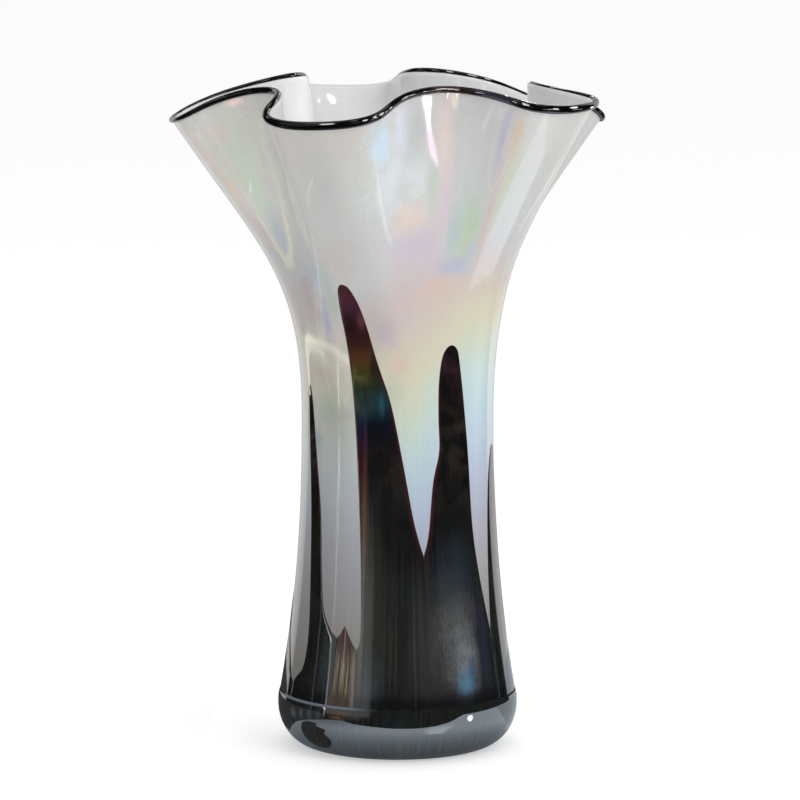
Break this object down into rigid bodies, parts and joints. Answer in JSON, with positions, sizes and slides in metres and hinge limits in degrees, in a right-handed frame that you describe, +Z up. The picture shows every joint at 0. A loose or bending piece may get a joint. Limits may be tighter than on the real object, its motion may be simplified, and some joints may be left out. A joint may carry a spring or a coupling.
{
  "type": "vase",
  "caption": "Tall free-standing blown glass vase: white opal body with a wide ruffled mouth, a heavy dark base, dark flame-shaped streaks up the wall and a black thread round the rim.",
  "frame": {"origin": "centre of the foot's flat ring, on the surface that the vase stands on", "axes": "+Z up along the vase's axis; -Y is the front, with the two tallest visible flames; +X to the right seen from the front"},
  "size_m": [0.1948, 0.1846, 0.3001],
  "materials": {
    "opal_glass": "glossy opal white with a faint pastel lustre",
    "dark_glass": "glossy near-black, iridised",
    "dark_flame": "glossy near-black with maroon, teal and navy lustre",
    "ember_glass": "glossy dark brown, feathered",
    "black_thread": "glossy black"
  },
  "bodies": {
    "root": {"base_cup": "dark_glass", "opal_body": "opal_glass", "flame_1": "dark_flame", "flame_2": "dark_flame", "flame_3": "dark_flame", "flame_4": "dark_flame", "flame_5": "dark_flame", "flame_6": "dark_flame", "flame_7": "dark_flame", "flame_8": "dark_flame", "ember_streak": "ember_glass", "lip_wrap": "black_thread"}
  },
  "joints": []
}
